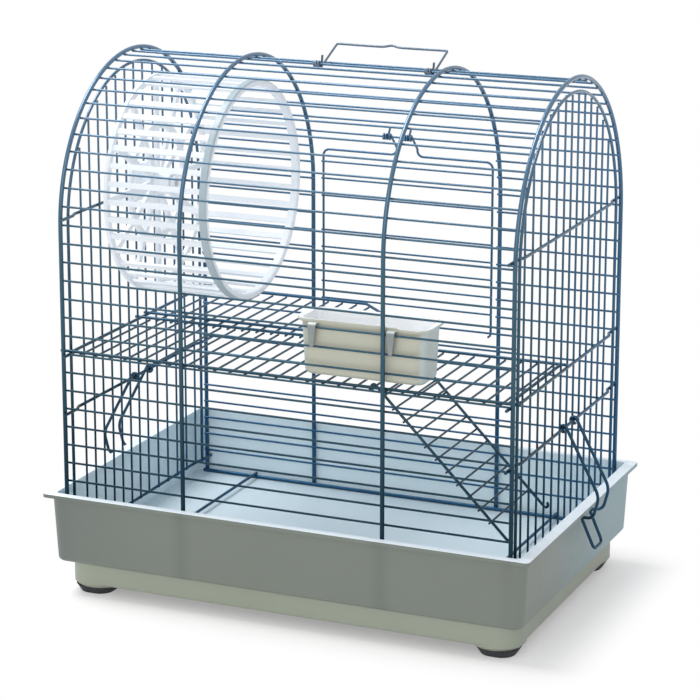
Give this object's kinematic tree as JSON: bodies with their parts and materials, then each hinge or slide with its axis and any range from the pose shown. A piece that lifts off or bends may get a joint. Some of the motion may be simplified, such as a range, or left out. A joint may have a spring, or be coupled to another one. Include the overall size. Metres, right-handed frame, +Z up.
{
  "type": "hamster cage",
  "caption": "Two-storey arched wire cage on a plastic tub, with shelves, ladder, food bowl, exercise wheel, back door, carrying handle and side clips.",
  "frame": {"origin": "On the floor under the middle of the cage's bounding box.", "axes": "+X runs along the length to the ladder end, +Y to the back where the door is, +Z up."},
  "size_m": [0.3516, 0.2176, 0.3519],
  "materials": {
    "tub_plastic": "smooth moulded, slightly translucent",
    "plinth_plastic": "smooth moulded",
    "foot_rubber": "matt",
    "cage_wire": "metallic blue-green paint",
    "handle_wire": "metallic blue-grey paint",
    "bowl_plastic": "smooth moulded",
    "wheel_plastic": "smooth moulded, slightly translucent",
    "axle_steel": "drawn wire"
  },
  "bodies": {
    "cage": {"tub": "tub_plastic", "plinth": "plinth_plastic", "foot_front_left": "foot_rubber", "foot_front_right": "foot_rubber", "foot_rear_left": "foot_rubber", "foot_rear_right": "foot_rubber", "hoop_left_end": "cage_wire", "hoop_left_middle": "cage_wire", "hoop_right_middle": "cage_wire", "hoop_right_end": "cage_wire", "ridge_wire": "cage_wire", "front_roof_wires": "cage_wire", "back_roof_wires": "cage_wire", "front_wall_wires": "cage_wire", "back_wall_wires": "cage_wire", "bottom_rail_front": "cage_wire", "bottom_rail_back": "cage_wire", "floor_cross_bars": "cage_wire", "left_panel_hoop": "cage_wire", "left_panel_uprights": "cage_wire", "left_upper_bar": "cage_wire", "left_shelf_bar": "cage_wire", "left_clip_bar": "cage_wire", "left_lower_bar": "cage_wire", "right_panel_hoop": "cage_wire", "right_panel_uprights": "cage_wire", "right_upper_bar": "cage_wire", "right_shelf_bar": "cage_wire", "right_clip_bar": "cage_wire", "right_lower_bar": "cage_wire", "shelf_frame": "cage_wire", "shelf_slats": "cage_wire", "loft_frame": "cage_wire", "loft_slats": "cage_wire", "wheel_axle": "axle_steel", "axle_cap": "wheel_plastic", "wheel_bracket": "wheel_plastic"},
    "ladder": {"ladder_rails": "cage_wire", "ladder_rungs": "cage_wire"},
    "door": {"door_frame_left": "cage_wire", "door_frame_right": "cage_wire", "door_wires": "cage_wire"},
    "handle": {"handle": "handle_wire"},
    "clip_left": {"clip_left": "cage_wire"},
    "clip_right": {"clip_right": "cage_wire"},
    "bowl": {"bowl": "bowl_plastic"},
    "wheel": {"wheel_front_ring": "wheel_plastic", "wheel_rungs": "wheel_plastic", "wheel_back_disc": "wheel_plastic"}
  },
  "joints": [
    {"name": "door_hinge", "type": "hinge", "parent": "cage", "child": "door", "pos_m": [0, 0.09173, 0.27892], "axis": [1, 0, 0], "range_deg": [0, 110]},
    {"name": "handle_hinge", "type": "hinge", "parent": "cage", "child": "handle", "pos_m": [0, 0, 0.34088], "axis": [1, 0, 0], "range_deg": [-10, 157]},
    {"name": "clip_right_hinge", "type": "hinge", "parent": "cage", "child": "clip_right", "pos_m": [0.1511, 0, 0.122], "axis": [0, -1, 0], "range_deg": [0, 120]},
    {"name": "clip_left_hinge", "type": "hinge", "parent": "cage", "child": "clip_left", "pos_m": [-0.1511, 0, 0.122], "axis": [0, 1, 0], "range_deg": [0, 120]},
    {"name": "ladder_hinge", "type": "hinge", "parent": "cage", "child": "ladder", "pos_m": [0.05775, 0, 0.1606], "axis": [0, 1, 0], "range_deg": [0, 48]},
    {"name": "bowl_lift", "type": "slide", "parent": "cage", "child": "bowl", "axis": [0, 0, 1], "range_m": [0, 0.008]},
    {"name": "wheel_spin", "type": "hinge", "parent": "cage", "child": "wheel", "pos_m": [-0.13, 0.00185, 0.25495], "axis": [1, 0, 0], "continuous": true}
  ]
}
